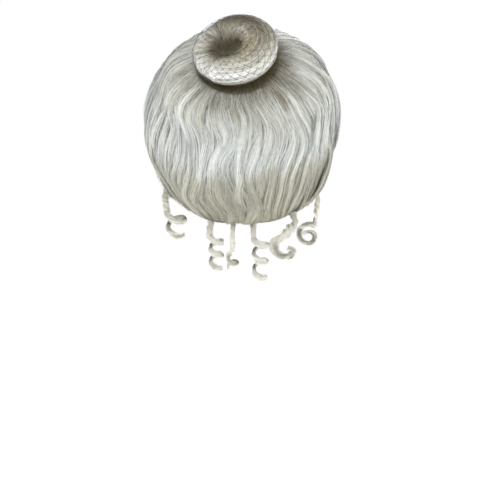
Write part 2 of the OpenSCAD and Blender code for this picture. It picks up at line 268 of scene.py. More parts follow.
def slab(name, outer, inner, closed=False):
    """A sheet with thickness from two grids of points in mm; closed joins its last column to its first."""
    m, w = outer.shape[:2]
    k = m * w
    i, j = np.meshgrid(np.arange(m - 1), np.arange(w if closed else w - 1), indexing="ij")
    q = (j + 1) % w
    a, b, c, d = i * w + j, i * w + q, (i + 1) * w + q, (i + 1) * w + j
    quads = [np.stack([a, d, c, b], -1).reshape(-1, 4),
             np.stack([a + k, b + k, c + k, d + k], -1).reshape(-1, 4)]
    j = np.arange(w if closed else w - 1)
    q = (j + 1) % w
    low = (m - 1) * w
    quads.append(np.stack([j, q, k + q, k + j], -1))
    quads.append(np.stack([low + q, low + j, k + low + j, k + low + q], -1))
    if not closed:
        i = np.arange(m - 1) * w
        quads.append(np.stack([i + w, i, k + i, k + i + w], -1))
        e = i + w - 1
        quads.append(np.stack([e, e + w, k + e + w, k + e], -1))
    o = new_object(name)
    fill_mesh(o, np.concatenate([outer.reshape(-1, 3), inner.reshape(-1, 3)]), np.concatenate(quads))
    return o


# ------------------------------------------------------------------ materials

def srgb(r, g, b):
    c = np.array([r, g, b]) / 255
    return np.where(c <= 0.04045, c / 12.92, ((c + 0.055) / 1.055) ** 2.4)


def material(name, rough=0.5, **sockets):
    m = bpy.data.materials.new(name)
    m.use_nodes = True
    nt = m.node_tree
    bsdf = nt.nodes["Principled BSDF"]
    bsdf.inputs["Roughness"].default_value = rough
    for k, v in sockets.items():
        bsdf.inputs[k.replace("_", " ")].default_value = v
    return m, nt, bsdf


def link(nt, a, ao, b, bi):
    nt.links.new(a.outputs[ao], b.inputs[bi])


def node(nt, kind, **values):
    n = nt.nodes.new(kind)
    for k, v in values.items():
        if k.startswith("i_"):
            n.inputs[k[2:].replace("_", " ")].default_value = v
        else:
            setattr(n, k, v)
    return n


def ramp(nt, stops):
    r = nt.nodes.new("ShaderNodeValToRGB")
    e = r.color_ramp.elements
    while len(e) < len(stops):
        e.new(0.5)
    for el, (pos, col) in zip(e, stops):
        el.position = pos
        el.color = (*col, 1)
    return r


def texture(nt, kind, **values):
    """A texture node in the object's own coordinates."""
    tex = node(nt, "ShaderNodeTex" + kind, **values)
    link(nt, node(nt, "ShaderNodeTexCoord"), "Object", tex, "Vector")
    return tex


def coloured(nt, bsdf, src, out, stops, by=None):
    """Base colour from a ramp, or from another node's colour times the ramp."""
    r = ramp(nt, stops)
    link(nt, src, out, r, "Fac")
    if by is None:
        return link(nt, r, "Color", bsdf, "Base Color")
    mul = node(nt, "ShaderNodeMix", data_type="RGBA", blend_type="MULTIPLY", i_Factor=1.0)
    link(nt, by, "Color", mul, 6)
    link(nt, r, "Color", mul, 7)
    link(nt, mul, 2, bsdf, "Base Color")


def roughened(nt, bsdf, src, low, high):
    span = node(nt, "ShaderNodeMapRange", i_To_Min=low, i_To_Max=high)
    link(nt, src, "Fac", span, "Value")
    link(nt, span, "Result", bsdf, "Roughness")


def bumped(nt, bsdf, src, out, strength, distance):
    bump = node(nt, "ShaderNodeBump", i_Strength=strength, i_Distance=distance)
    link(nt, src, out, bump, "Height")
    link(nt, bump, "Normal", bsdf, "Normal")


def shades(colour, *stops):
    """Ramp stops: a place, and how many times the colour."""
    return [(pos, tuple(np.minimum(np.asarray(colour) * times, cap))) for pos, times, cap in stops]


def hair_material(name, rough, amount):
    """Colour from each strand's tint, which holds its own colour together with painted highlight and shade, with fine
    flecks along it and roughness that varies.
    """
    m, nt, bsdf = material(name, rough, Specular_IOR_Level=0.55, Anisotropic=0.55, Sheen_Weight=0.12,
                           Sheen_Roughness=0.4)
    att = node(nt, "ShaderNodeAttribute", attribute_name="tint")
    noise = texture(nt, "Noise", i_Scale=180.0, i_Detail=3.0, i_Roughness=0.65)
    coloured(nt, bsdf, noise, "Fac", [(0.3, (1 - amount,) * 3), (0.7, (1 + amount,) * 3)], att)
    roughened(nt, bsdf, noise, rough - 0.08, rough + 0.12)
    return m


def set_material(o, m):
    o.data.materials.clear()
    o.data.materials.append(m)


# ------------------------------------------------------------------ hair colours

ROOT = srgb(110, 101, 74)
UPPER = srgb(217, 219, 212)
MID = srgb(214, 218, 215)
LOW = srgb(174, 173, 158)
TIP = srgb(172, 169, 150)
# the underlayer's dark colour: painted shade seen between the strands
DEEP_SHADE = srgb(146, 140, 120)
CREAM = srgb(240, 238, 227)  # the curls
# the bun
BROWN = srgb(76, 67, 46)
SILVER = srgb(244, 245, 241)
GREY = srgb(182, 177, 158)
WARM = srgb(186, 174, 146)
# dark brown of the dimple: partly the hair's own colour, partly painted shade
DUSK = srgb(84, 75, 54)


def along_tint(t, dark=1.0):
    """Colour from root (0) to tip (1), light along the upper and middle lengths and darker and more beige toward the
    tip, partly the hair's own colour and partly painted light falling from above; dark says how dark the roots are, 0
    to 1.
    """
    t = t[..., None]
    root = mix(UPPER, ROOT, np.clip(dark, 0, 1))
    c = mix(root, UPPER, ease(0.09, 0.30, t))
    c = mix(c, MID, ease(0.32, 0.48, t))
    c = mix(c, LOW, ease(0.58, 0.74, t))
    return mix(c, TIP, ease(0.86, 1.0, t))


HAIR = hair_material("hair_strands", 0.42, 0.10)
CURL = hair_material("ringlet_strands", 0.40, 0.08)
BUNM = hair_material("bun_strands", 0.36, 0.12)
MATT = hair_material("bun_dimple_strands", 0.75, 0.2)


# ------------------------------------------------------------------ camera, stage and light

AIM = np.array([-2.6, 0.0, -110.6]) * MM
DIST, ELEV, HALF_VIEW = 3.0, math.radians(4.5), 0.312
cam_data = bpy.data.cameras.new("camera")
cam = bpy.data.objects.new("camera", cam_data)
bpy.context.scene.collection.objects.link(cam)
cam.location = (AIM[0], AIM[1] - DIST * math.cos(ELEV), AIM[2] + DIST * math.sin(ELEV))
cam.rotation_euler = (math.pi / 2 - ELEV, 0, 0)
cam_data.sensor_width = 36
cam_data.lens = 18 / (HALF_VIEW / DIST)
cam_data.clip_end = 50
bpy.context.scene.camera = cam

FLOOR_Z, FLOOR_HALF = -520, 9000
floor = new_object("studio_floor")
fill_mesh(floor, [(x * FLOOR_HALF, y * FLOOR_HALF, FLOOR_Z) for x, y in ((-1, -1), (1, -1), (1, 1), (-1, 1))],
          [[0, 1, 2, 3]])
fm, fnt, fb = material("studio_floor", 0.9, Specular_IOR_Level=0.1)
fb.inputs["Base Color"].default_value = (0.93, 0.93, 0.93, 1)
fb.inputs["Emission Color"].default_value = (1, 1, 1, 1)
fb.inputs["Emission Strength"].default_value = 0.47
# the floor is clear from below, so that the underside can be seen
side_mix = node(fnt, "ShaderNodeMixShader")
link(fnt, node(fnt, "ShaderNodeNewGeometry"), "Backfacing", side_mix, 0)
link(fnt, fb, 0, side_mix, 1)
link(fnt, node(fnt, "ShaderNodeBsdfTransparent"), 0, side_mix, 2)
link(fnt, side_mix, 0, fnt.nodes["Material Output"], 0)
set_material(floor, fm)

world = bpy.data.worlds.new("studio")
bpy.context.scene.world = world
world.use_nodes = True
back = world.node_tree.nodes["Background"]
back.inputs[0].default_value = (1, 1, 1, 1)
# the backdrop is white, and lights the wig a little less than it shows
strength = node(world.node_tree, "ShaderNodeMapRange", i_To_Min=0.62, i_To_Max=1.0)
link(world.node_tree, node(world.node_tree, "ShaderNodeLightPath"), "Is Camera Ray", strength, "Value")
link(world.node_tree, strength, "Result", back, "Strength")
bpy.context.scene.view_settings.view_transform = "Standard"


def area(name, place, size, power):
    """A soft light, turned to the middle of the wig."""
    d = bpy.data.lights.new(name, "AREA")
    d.size = size
    d.energy = power
    o = bpy.data.objects.new(name, d)
    bpy.context.scene.collection.objects.link(o)
    o.location = place
    o.rotation_euler = (Vector((0, 0, 0.05)) - Vector(place)).to_track_quat("-Z", "Y").to_euler()


area("key", (-0.9, -2.2, 1.3), 1.0, 12)
area("fill", (1.7, -1.6, 0.7), 1.2, 6)
area("rim", (0.6, 2.0, 1.4), 1.0, 16)
area("left", (-2.1, -0.7, 0.5), 1.2, 8)
area("right", (2.1, -0.7, 0.4), 1.2, 9)


# ------------------------------------------------------------------ the puffed hair

SECTIONS = [(-180, -124, "front_hair_left"), (-124, -82, "side_hair_left"), (-82, -38, "rear_hair_left"),
            (-38, 0, "back_hair_left"), (0, 38, "back_hair_right"), (38, 82, "rear_hair_right"),
            (82, 124, "side_hair_right"), (124, 180, "front_hair_right")]
FOOT = BUN_C - U * (BUN_HALF + 1.7)


def part(o, mat, slot, body, *stands_for):
    """Gives a piece its material and body, and hides the CAD nodes that it stands for; slot is not used."""
    set_material(o, mat)
    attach(o, body)
    if stands_for:
        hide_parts(*stands_for)
    return o


def locks(name, node_name, mat, slot, q, up, wd, c, body="wig"):
    """A piece made of strands."""
    return part(strands(name, q, up, wd, c), mat, slot, body, node_name)


def resample(q, k):
    """Rows of points, spaced evenly along each row, and the rows' lengths."""
    step = np.linalg.norm(np.diff(q, axis=1), axis=-1)
    s = np.concatenate([np.zeros((len(q), 1)), np.cumsum(step, axis=1)], 1)
    want = np.linspace(0, 1, k)
    return np.stack([np.stack([np.interp(want * si[-1], si, qi[:, c]) for c in range(3)], -1)
                     for si, qi in zip(s, q)]), s[:, -1]


def sample(rows, at):
    """Rows of numbers or points, read at places from 0 to 1: one row of places for each row."""
    grid = np.linspace(0, 1, rows.shape[1])
    flat = rows.reshape(*rows.shape[:2], -1)
    out = [np.stack([np.interp(ai, grid, ri[:, c]) for c in range(flat.shape[2])], -1) for ai, ri in zip(at, flat)]
    return np.stack(out).reshape(at.shape + rows.shape[2:])


def outward(pts):
    """Outward directions of the hair's surface, by differences."""
    d = pts - CENTRE
    e1 = unit(np.cross(d, [0.3, 0.2, 1.0]))
    e2 = unit(np.cross(d, e1))
    n = unit(np.cross(surf(d + e1 * 3) - pts, surf(d + e2 * 3) - pts))
    return n * np.sign((n * d).sum(-1, keepdims=True))


def guide_lines(b_end, psi, k):
    """Lines from under the bun to the hem: points on the hair's surface, outward vectors and lengths."""
    ca, sa = np.cos(np.radians(psi)), np.sin(np.radians(psi))
    dirn = -V_AXIS[None] * ca[:, None] + W_AXIS[None] * sa[:, None]
    start = FOOT + dirn * 32
    c1 = FOOT + dirn * (34 + mix(62, 74, ease(40, 120, abs(psi))))[:, None] + U * 10
    zc = mix(WIDE + 42, 138, ease(90, 150, abs(b_end)))
    a = np.radians(b_end)
    rc = hair_w(b_end) * 1.02
    c2 = np.stack([rc * np.sin(a), -rc * np.cos(a), zc], -1)
    end = hair_pt(b_end, 180.0)
    t = steps(90)[..., None]
    p = ((1 - t) ** 3 * start[:, None] + 3 * (1 - t) ** 2 * t * c1[:, None]
         + 3 * (1 - t) * t ** 2 * c2[:, None] + t ** 3 * end[:, None])
    out, length = resample(surf(p - CENTRE), k)
    return out, outward(out), length


def heading(b):
    """Where round the bun the hair that ends at angle b starts."""
    return b + 20 * np.sin(np.radians(b)) * (1 - 0.2 * np.cos(np.radians(b)))


def hair_layer(seed, count, per_lock, lift, dome, wave, tone, width, spread=1.2, k=40, fine=1.0, ends=None):
    """One layer of locks round the whole head: strand paths, outward vectors, widths, tints and angles.
    ends gives the shortest and longest lock as a share of the way to the hem."""
    g = np.random.default_rng(seed)
    base = np.linspace(-180, 180, count, endpoint=False) + g.uniform(-0.42, 0.42, count) * 360 / count
    psi = heading(base)
    lines, up, length = guide_lines(base, psi, 60)
    over = np.ones(count) if ends is None else g.uniform(*ends, count)
    at = np.linspace(0, over, k, axis=-1)
    lines = sample(lines, at)
    side, up = frames(lines, unit(sample(up, at)))
    own_t = steps(k)  # along the lock; t is along the whole way to the hem
    t = own_t * over[:, None]
    gap = math.pi / count * np.linalg.norm(lines[..., :2] - np.array([-4.0, -30.0]), axis=-1)
    gap = np.clip(gap, 1.6, 26) * g.uniform(0.8, 1.4, (count, 1))
    # a slow wave runs through all the locks together, and each lock adds a little of its own
    rb = np.radians(base)
    phase = 1.6 * np.sin(rb * 2 + 0.6) + 1.0 * np.sin(rb * 5 + 1.3) + g.normal(0, 0.28, count)
    lam = 134 + 14 * np.sin(rb * 3) + g.uniform(-12, 12, count)
    s = t * length[:, None]
    env = ease(0.14, 0.42, t) * (1 - 0.30 * ease(0.86, 1.0, t))
    ang = 2 * math.pi * s / lam[:, None] + phase[:, None]
    small = 2 * math.pi * s / (lam[:, None] * 0.46) + g.uniform(0, 6.3, (count, 1))
    swing = wave * env * (np.sin(ang) + 0.24 * np.sin(small))
    bump = 0.34 * wave * env * np.sin(ang + 1.1)
    rise = g.normal(0, 0.55, (count, 1)) * dome * 0.4
    point = np.zeros((1, k)) if ends is None else ease(0.45, 1.0, own_t)
    if ends is not None:
        swing = swing + g.choice([-1, 1], (count, 1)) * g.uniform(2, 9, (count, 1)) * ease(0.55, 1.0, own_t) ** 1.5
    # from here on there is one row for each strand; li is its lock
    n = count * per_lock
    li = np.repeat(np.arange(count), per_lock)
    u = g.uniform(-1, 1, n)
    depth = g.uniform(0, 1, n) ** 1.8
    clump = 1 - 0.22 * (0.5 + 0.5 * np.sin(small * 0.8 + 1)) * env * (1 - 0.8 * ease(0.60, 0.80, t))
    clump = clump * (1 - 0.86 * point)
    own = g.uniform(0, 6.3, (n, 3))
    amp = g.normal(0, 1, (n, 3)) * np.array([1.0, 0.42, 0.12]) * fine
    jitter = (amp[:, :1] * np.sin(t[li] * 4.5 + own[:, :1]) + amp[:, 1:2] * np.sin(t[li] * 11 + own[:, 1:2])
              + amp[:, 2:] * np.sin(t[li] * 34 + own[:, 2:]))
    fly = (g.uniform(0, 1, n) < 0.03) * g.uniform(0.4, 1.6, n)
    lateral = u[:, None] * gap[li] * spread * clump[li] + swing[li] + jitter * ease(0.0, 0.25, t[li])
    lateral = lateral * (1 - 0.6 * bump_at(abs(base), FACE_B, 15)[li][:, None] * ease(0.45, 0.8, t[li]))
    near_bun = 1 - ease(0.04, 0.24, t[li])
    height = (lift + rise[li]
              + dome * (1 - u[:, None] ** 2) * (ease(0.02, 0.3, t[li]) - 0.6 * ease(0.62, 0.85, t[li]))
              + bump[li] - depth[:, None] * 2.0
              + fly[:, None] * ease(0.2, 0.7, t[li]) * np.sin(t[li] * 9 + own[:, :1]))
    height = mix(height, -0.2 - depth[:, None] * 2.0, near_bun * 0.8)
    height = mix(height, np.minimum(height, -1.5), ease(0.86, 1.0, t[li]))
    height = height - 1.6 * point * (0.4 + depth[:, None])
    # round the face the underlayer lies close below the surface, so the locks there lie higher
    front = ease(112, 126, abs(base))[li][:, None] * ease(0.46, 0.68, t[li])
    height = mix(height, np.minimum(height + 5.0, -0.4 - 1.5 * depth[:, None]), front)
    paths = dipped(lines[li] + side[li] * lateral[..., None] + up[li] * height[..., None])
    if ends is None:  # the ends leave the hem a few millimetres down, by different amounts
        paths[..., 2] -= ease(0.93, 1.0, t[li]) * g.uniform(-1.2, 1.4, n)[:, None]
    # how dark the roots are, and how far down the darkness reaches, by where the lock starts round the bun
    under = (mix(0.35, 1.0, ease(-110, -40, psi)) * (1 - 0.45 * ease(55, 95, psi))
             * (1 - 0.35 * ease(115, 170, abs(psi))))
    reach = 1 + 0.10 * bump_at(psi, 50, 40) - 0.42 * bump_at(abs(psi), 105, 45) + 0.35 * bump_at(psi, -42, 20)
    ragged = 0.40 * np.sin(np.radians(psi * 9 + 40)) * np.sin(np.radians(psi * 4)) + g.normal(0, 0.16, count)
    reach = np.maximum(reach * (1 + ragged), 0.55)
    root_t = t[li] / reach[li][:, None]
    tt = mix(root_t, t[li], ease(0.16, 0.34, t[li])) - (0 if ends is None else 0.10 * own_t)
    early = 0.07 * bump_at(base, 28, 42)[li][:, None] * ease(0.45, 0.6, t[li])
    tint = along_tint(np.clip(tt + early + g.normal(0, 0.04, (n, 1)), 0, 1),
                      (under[li] * g.uniform(0.75, 1.1, n))[:, None, None])
    beige = (g.uniform(0, 1, n) < 0.10)[:, None, None]
    tint = np.where(beige, tint * np.array([0.88, 0.84, 0.75]), tint)
    # painted highlight: each lock is lighter where its wave bulges outward, in step with bump
    crest_highlight = 1 + 0.10 * np.sin(ang + 1.1) * env
    lock_tone = g.normal(0, 0.05, count)[li] + g.normal(0, 0.05, n)
    # deeper strands are painted darker, as painted shade under the strands above, and each lock's sides darker than
    # its raised middle, as painted shade
    tint = tint * (tone * (1 + lock_tone) * (1 - 0.13 * depth) * (0.90 + 0.10 * (1 - u ** 2)))[:, None, None]
    tint = tint * crest_highlight[li][..., None]
    local_tone = 0.17 * bump_at(psi, -88, 34) - 0.08 * bump_at(psi, 12, 30)
    tint = tint * (1 + local_tone[li][:, None] * (1 - ease(0.45, 0.75, t[li])))[..., None]
    tint = tint * (1 + g.normal(0, 0.20, (n, 1)) * (1 - ease(0.10, 0.36, t[li])))[..., None]
    taper = 1 - 0.6 * ease(0.9, 1.0, own_t) - 0.15 * (1 - ease(0, 0.1, own_t))
    if ends is not None:  # each hair of a short lock has its own end
        cut = 1 - 0.42 * g.uniform(0, 1, (n, 1))
        taper = taper * (1 - ease(-0.16, 0.0, own_t - cut)) + 0.02
    wd = width * g.uniform(0.7, 1.3, n)[:, None] * taper
    return paths, up[li], wd, np.clip(tint, 0.01, 0.95), base[li]


# tone is lower for the deeper layers: painted shade under the layers above
layers = [  # seed, locks, strands in each, lift, dome, wave, tone, strand width
    hair_layer(11, 96, 44, -7.4, 1.0, 5.2, 0.95, 1.9, spread=1.4, k=30),
    hair_layer(23, 84, 56, -5.4, 1.8, 6.8, 0.97, 1.1, spread=1.5),
    hair_layer(37, 62, 60, -3.8, 2.6, 8.6, 0.97, 0.80),
    hair_layer(41, 74, 30, -2.6, 2.2, 9.6, 1.02, 0.66, spread=1.1, k=34, ends=(0.50, 0.86)),
    hair_layer(53, 60, 8, -1.6, 1.4, 8.6, 1.03, 0.34, spread=1.7, fine=1.5),
]
for b0, b1, name in SECTIONS:
    for i, (q, up, wd, c, be) in enumerate(layers):
        be = (be + 180) % 360 - 180
        keep = (be >= b0) & (be < b1)
        locks(f"{name}_locks_{i + 1}", name, HAIR, "hair", q[keep], up[keep], wd[keep], c[keep])


def section_base(b0, b1, name, cols):
    """The body of hair inset under the strands."""
    b = np.linspace(b0, b1, cols)
    th = np.linspace(8.0, 174.0, 56)
    outer = dipped(hair_pt(b[None], th[:, None], UNDER), 3.2)
    zl = hem_z(b) + 4
    h = np.where(zl >= 0, HEAD[2], HEAD[3]) + CAP
    p = np.arccos(zl / h)[None] * (th / 174.0)[:, None]
    zc = np.where(np.cos(p) >= 0, HEAD[2] + CAP, HEAD[3] + CAP) * np.cos(p)
    inner = head_pt(b[None], zc, CAP)
    rad = np.linalg.norm(outer - CENTRE, axis=-1, keepdims=True)
    need = np.linalg.norm(inner - CENTRE, axis=-1, keepdims=True) + 0.4
    outer = CENTRE + (outer - CENTRE) * np.maximum(1, need / rad)
    return slab(name + "_base", outer, inner)


def base_material():
    """Streaks that run down the head, seen only between the strands, in colours darker than the hair above them:
    painted shade between the strands.
    """
    m, nt, bsdf = material("hair_underlayer", 0.55, Specular_IOR_Level=0.35)
    stretch = node(nt, "ShaderNodeMapping", i_Scale=(700, 700, 40))
    link(nt, node(nt, "ShaderNodeTexCoord"), "Object", stretch, "Vector")
    noise = node(nt, "ShaderNodeTexNoise", i_Scale=1.0, i_Detail=4.0, i_Roughness=0.7)
    link(nt, stretch, "Vector", noise, "Vector")
    coloured(nt, bsdf, noise, "Fac", [(0.25, tuple(mix(DEEP_SHADE, LOW, 0.3))), (0.6, tuple(mix(DEEP_SHADE, LOW, 0.8))),
                                      (0.85, tuple(LOW * 1.1))])
    bumped(nt, bsdf, noise, "Fac", 0.6, 0.001)
    return m


BASE = base_material()
for b0, b1, name in SECTIONS:
    part(section_base(b0, b1, name, max(8, int((b1 - b0) / 3))), BASE, "hair", "wig", name)


def under_pt(b, s):
    """The underside of the hem, from its outer edge (0) to the cap's rim (1)."""
    o = dipped(hair_pt(b, 174.0, 6.0))
    return mix(o, head_pt(b, hem_z(b) + 4, CAP), s[..., None])


def hem_strands(seed, n, k):
    """Hair ends turned in over the underside of the hem and the edge of the face opening."""
    g = np.random.default_rng(seed)
    bb = np.linspace(-180, 180, 721)
    walk = np.cumsum(np.r_[0, np.linalg.norm(np.diff(under_pt(bb, bb * 0 + 0.5), axis=0), axis=-1)])
    b0 = np.interp(g.uniform(0, walk[-1], (n, 1)), walk, bb)
    s = steps(k) + 0 * b0
    b = b0 + g.normal(0, 1.6, (n, 1)) * s + 0.8 * np.sin(s * 4 + b0 / 6)
    b = (b + 180) % 360 - 180
    p = under_pt(b, s)
    e = 0.4
    up = unit(np.cross(under_pt(b + e, s) - under_pt(b - e, s), under_pt(b, s + 0.05) - p))
    away = p - dipped(mix(hair_pt(b, 160.0, 6.0), head_pt(b, hem_z(b) + 22, CAP), s[..., None]))
    up = up * np.sign((up * away).sum(-1, keepdims=True))
    lift = 0.5 + 1.5 * np.sin(s * math.pi) * g.uniform(0.1, 1, (n, 1)) + 0.3 * np.sin(b0 * 1.7)
    c = mix(LOW, TIP, s[..., None]) * g.uniform(0.30, 1.25, (n, 1, 1)) * (1 + 0.28 * np.sin(b0 * 2.3))[..., None]
    wd = 0.9 * g.uniform(0.6, 1.2, (n, 1)) * (1 - 0.6 * s)
    return p + up * lift[..., None], up, wd, c, b0[:, 0]


q, up, wd, c, be = hem_strands(77, 3400, 8)
for b0, b1, name in SECTIONS:
    keep = (be >= b0) & (be < b1)
    locks(name + "_hem_ends", name, HAIR, "hair", q[keep], up[keep], wd[keep], c[keep])


def crown_base():
    b = np.linspace(-180, 180, 60, endpoint=False)
    th = np.linspace(1.5, 25.0, 8)
    outer = dipped(hair_pt(b[None], th[:, None], UNDER), 3.2)
    p = np.radians(15.0 * th / 25.0)
    inner = head_pt(b[None], ((HEAD[2] + CAP) * np.cos(p))[:, None], CAP)
    return slab("crown_hair_base", outer, inner, closed=True)


part(crown_base(), BASE, "hair", "wig", "crown_hair")


def root_strands(seed, n, k):
    """Short strands that stand out all round from under the bun, dark at the root."""
    g = np.random.default_rng(seed)
    psi = g.uniform(-180, 180, n)
    reach = g.uniform(34, 66, n) * (1 + 0.25 * np.sin(np.radians(psi)))
    bend = g.normal(0, 5, n)
    t = steps(k)
    a = np.radians(psi)[:, None] + bend[:, None] / 100 * t ** 2
    rad = 26 + reach[:, None] * t
    p = (FOOT + (-V_AXIS * np.cos(a)[..., None] + W_AXIS * np.sin(a)[..., None]) * rad[..., None])
    q = surf(p - CENTRE, 0.0)
    up = outward(q)
    lift = -1.6 + g.uniform(0, 1, n)[:, None] * 2.4 * (1 - 0.7 * t)
    q = dipped(q + up * lift[..., None], 0.0)
    dark = mix(0.55, 1.0, ease(-115, -35, psi)) * (1 - 0.35 * ease(115, 170, abs(psi)))
    c = mix(ROOT * 0.82, UPPER * 0.95, ease(0.35, 1.0, t[..., None] + (1 - dark)[:, None, None] * 0.7))
    c = c * g.uniform(0.75, 1.15, n)[:, None, None]
    wd = 0.55 * g.uniform(0.6, 1.3, n)[:, None] * (1 - 0.85 * ease(0.45, 1.0, t))
    return q, up, wd, np.clip(c, 0.01, 0.9)


locks("crown_hair_roots", "crown_hair", HAIR, "hair", *root_strands(5, 1500, 16))

# ------------------------------------------------------------------ bun

def bun_pt(f, t, d=0.0):
    """Point on the roll of hair, in mm: f round the dimple, t round the roll, both in degrees."""
    a, e = np.broadcast_arrays(np.radians(f), np.radians(t))
    reach = (DIMPLE * np.cos(a) + np.sqrt(BUN_R ** 2 - (DIMPLE * np.sin(a)) ** 2)
             + 4 * np.cos(np.radians(f + SPIN - 200)) + 2.2 * np.cos(2 * np.radians(f + SPIN - 20)))
    half = (reach - HOLE) / 2
    r = HOLE + half + (half + d) * np.cos(e)
    high = BUN_HALF * (0.90 + 0.10 * np.cos(a)) + d
    return (BUN_C + BW * (r * np.cos(a) - DIMPLE)[..., None] + BV * (r * np.sin(a))[..., None]
            + U * (high * np.sin(e))[..., None])


def bun_out(f, t):
    return unit(bun_pt(f, t, 1.0) - bun_pt(f, t, 0.0))


def local(x, y, z):
    """Point given in the bun's own axes."""
    x, y, z = np.broadcast_arrays(x, y, z)
    return BUN_C + BW * x[..., None] + BV * y[..., None] + U * z[..., None]


def around(r, a, z):
    """Point at radius r, angle a and height z about the dimple's middle."""
    return local(r * np.cos(a) - DIMPLE, r * np.sin(a), z)


def near(x, mid, wide):
    """bump_at for angles in degrees."""
    return bump_at((x - mid + 180) % 360 - 180, 0, wide)


def bun_tint(f, t):
    """Brown along the top; silver on the lower bulge and a thin silver line along the right rim, both painted
    highlight; beige on the right; dark towards the dimple, partly dark hair and partly painted shade; darker on the
    underside, as painted shade.
    """
    f = f + SPIN
    c = mix(GREY, WARM, (near(f, 0, 75) * ease(60, 100, t))[..., None])
    # painted highlight: a silver band across the lower bulge
    c = mix(c, SILVER, (near(f, 246, 78) * near(t, 22, 50))[..., None])
    c = mix(c, SILVER, (0.7 * near(f, 150, 26) * near(t, 72, 34))[..., None])
    # painted highlight: a thin bright line along the right rim
    c = mix(c, SILVER, (0.9 * near(f, 350, 62) * near(t, 4, 15))[..., None])
    c = mix(c, SILVER, (0.35 * near(f, 56, 34) * near(t, 112, 16))[..., None])
    c = mix(c, BROWN, (0.95 * near(f, 78, 58) * near(t, 64, 38))[..., None])
    low = near(f, 222, 66)
    # dark towards the dimple: partly dark hair, partly painted shade in the dimple
    c = mix(c, DUSK, (0.95 * ease(mix(98, 70, low), mix(150, 108, low), t))[..., None])
    # painted shade on the underside, where the roll sits on the hair
    return mix(c, GREY * 0.72, (1 - ease(-60, -20, t))[..., None])


def bun_strands(seed, n, k):
    """Strands that come out of the dimple and turn round the roll."""
    g = np.random.default_rng(seed)
    f0 = np.where(g.uniform(0, 1, n) < 0.72, g.uniform(96, 300, n), g.uniform(-60, 96, n)) - SPIN
    clump = 7 * np.sin(np.radians(f0 * 11) + seed) + 3 * np.sin(np.radians(f0 * 23))
    s = steps(k)
    t = mix(178.0, -66.0, s) + g.normal(0, 2, (n, 1))
    turn = 26 + 74 * near(f0 + SPIN, 75, 55)
    f = f0[:, None] + clump[:, None] * 0.5 - turn[:, None] * s ** 1.1 + g.normal(0, 1.6, (n, 1)) * np.sin(s * 5)
    f = f + 3.0 * np.sin(s * 6.0 + f0[:, None] / 28)
    ridge = 0.55 * np.sin(np.radians(f0 * 11) + 1.2)[:, None]
    p = bun_pt(f, t, -0.5 - 1.5 * g.uniform(0, 1, (n, 1)) ** 1.5 + ridge)
    # random tone per strand, and raised strands a little lighter, as painted highlight
    c = bun_tint(f, t) * (1 + g.normal(0, 0.085, (n, 1, 1)) + 0.05 * ridge[..., None])
    streak = (g.uniform(0, 1, n) < 0.22)[:, None, None]
    c = np.where(streak, c * 0.52, c)
    c = c * (1 + 0.16 * np.sin(np.radians(f0 * 7) + 1.7) * np.sin(np.radians(f0 * 3)))[:, None, None]
    return p, bun_out(f, t), 0.62 * g.uniform(0.7, 1.3, (n, 1)), c


def bun_locks(name, q, up, wd, c, mat=BUNM, node_name="bun_coil"):
    locks(name, node_name, mat, "bun_hair", q, up, wd, np.clip(c, 0.01, 0.92))


def in_halves(name, q, up, wd, c):
    """Two pieces of the bun's hair, because one would hold too many faces for the exporter."""
    for i in (0, 1):
        bun_locks(f"{name}_{i + 1}", q[i::2], up[i::2], wd[i::2], c[i::2])


in_halves("bun_coil_locks", *bun_strands(3, 2300, 30))

# strands that rise out of the dimple at the upper left, then run over the top and round the right side
g = np.random.default_rng(9)
n, k = 1700, 46
s = steps(k)
r0, a0 = 13.0 * np.sqrt(g.uniform(0, 1, (n, 1))), g.uniform(0, 2 * math.pi, (n, 1))
from_mid = around(r0, a0, 12.1 + 0.9 * g.uniform(0, 1, (n, 1)))
t_run = g.uniform(-55, 128, (n, 1))
f = mix(118 + g.uniform(-34, 46, (n, 1)), -72 - 46 * g.uniform(0, 1, (n, 1)), s ** 0.9) - SPIN
f = f + g.normal(0, 2, (n, 1)) * np.sin(s * 7 + r0)
t = mix(168.0, t_run + 10 * np.sin(s * 4 + t_run / 30), ease(0.0, 0.34, s)) + g.normal(0, 2.5, (n, 1)) * np.sin(s * 9)
ridge = 0.6 * np.sin(np.radians(t_run * 13)) + 0.4 * np.sin(np.radians(t_run * 29))
q = bun_pt(f, t, 0.1 - 1.1 * g.uniform(0, 1, (n, 1)) ** 1.4 + ridge)
q = mix(from_mid, q, ease(0.0, 0.10, s)[..., None])
# the strands start dark where they leave the dimple: painted shade
c = mix(mix(DUSK, GREY, 0.30), bun_tint(f, t), ease(0.05, 0.18, s)[..., None])
# raised strands painted lighter and sunken ones darker, as painted highlight and shade, with random tone
c = c * (1 + 0.20 * ridge + g.normal(0, 0.13, (n, 1)))[..., None]
c = np.where((g.uniform(0, 1, (n, 1)) < 0.24)[..., None], c * 0.50, c)
wd = 0.52 * g.uniform(0.6, 1.2, (n, 1)) * (0.2 + 0.8 * np.minimum(1, 6 * np.sin(s * math.pi)))
in_halves("bun_coil_swept_locks", q, bun_out(f, t), wd, c)

# streaks that cross the dimple
n, k = 620, 14
s = steps(k)
u = g.uniform(-1, 1, (n, 1))
q = mix(bun_pt(-84 - SPIN + 74 * u, 118 + 26 * g.uniform(0, 1, (n, 1)), -0.3),
        bun_pt(124 - SPIN - 46 * u + g.normal(0, 8, (n, 1)), 128 + 22 * g.uniform(0, 1, (n, 1)), -0.3), s[..., None])
q = q - U * (2.6 * np.sin(s * math.pi) * g.uniform(0.2, 1, (n, 1)))[..., None]
